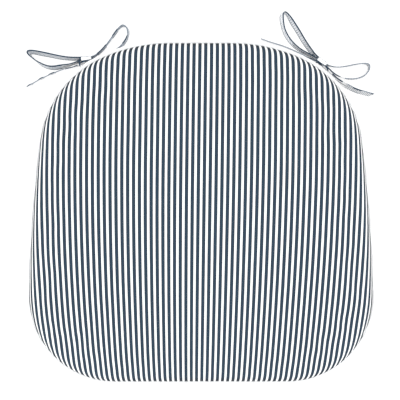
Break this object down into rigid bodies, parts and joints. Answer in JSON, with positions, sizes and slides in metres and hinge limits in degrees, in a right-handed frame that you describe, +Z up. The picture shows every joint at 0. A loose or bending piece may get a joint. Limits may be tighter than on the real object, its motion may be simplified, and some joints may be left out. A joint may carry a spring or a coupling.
{
  "type": "chair seat pad",
  "caption": "U-shaped tie-on chair seat pad in ticking stripe, with piped edge, zipped cover, foam core and a tape bow at each rear corner.",
  "frame": {"origin": "bottom centre of the pad without its bows, on the surface it lies on", "axes": "+X to the pad's right, +Y towards the rear edge with the ties, +Z up"},
  "size_m": [0.4194, 0.4467, 0.04],
  "materials": {
    "cover_stripe": "woven navy and white ticking stripe",
    "piping_white": "plain white cotton, cut on the bias",
    "filler_cord": "soft cotton cord",
    "foam": "open-cell polyurethane foam",
    "wadding": "polyester wadding",
    "zip_tape": "woven polyester tape",
    "zip_coil": "nylon coil",
    "zip_metal": "nickel-plated",
    "label_white": "blank satin ribbon",
    "tie_tape": "white woven tape with a slanting navy hatch and navy edges"
  },
  "bodies": {
    "pad": {"top_panel": "cover_stripe", "bottom_front_panel": "cover_stripe", "bottom_rear_panel": "cover_stripe", "piping_cover": "piping_white", "piping_cord": "filler_cord", "foam_core": "foam", "wadding_top": "wadding", "wadding_bottom": "wadding", "zip_tape_front": "zip_tape", "zip_tape_rear": "zip_tape", "zip_coil_front": "zip_coil", "zip_coil_rear": "zip_coil", "zip_end_stops": "zip_metal", "care_label": "label_white", "left_tie_anchor": "tie_tape", "right_tie_anchor": "tie_tape"},
    "left_bow": {"left_tie_outer": "tie_tape", "left_tie_inner": "tie_tape", "left_knot": "tie_tape"},
    "right_bow": {"right_tie_outer": "tie_tape", "right_tie_inner": "tie_tape", "right_knot": "tie_tape"},
    "zip_slider": {"zip_slider": "zip_metal"},
    "zip_pull": {"zip_pull": "zip_metal"}
  },
  "joints": [
    {"name": "left_bow_swing", "type": "hinge", "parent": "pad", "child": "left_bow", "pos_m": [-0.13358, 0.18159, 0.015], "axis": [0.9253, 0.3791, 0], "range_deg": [0, 100]},
    {"name": "right_bow_swing", "type": "hinge", "parent": "pad", "child": "right_bow", "pos_m": [0.14343, 0.17693, 0.015], "axis": [0.897, -0.442, 0], "range_deg": [0, 100]},
    {"name": "zip_slide", "type": "slide", "parent": "pad", "child": "zip_slider", "axis": [1, 0, 0], "range_m": [-0.264, 0]},
    {"name": "zip_pull_swing", "type": "hinge", "parent": "zip_slider", "child": "zip_pull", "pos_m": [0.132, 0.11, 0.00135], "axis": [0, -1, 0], "range_deg": [0, 150]}
  ]
}
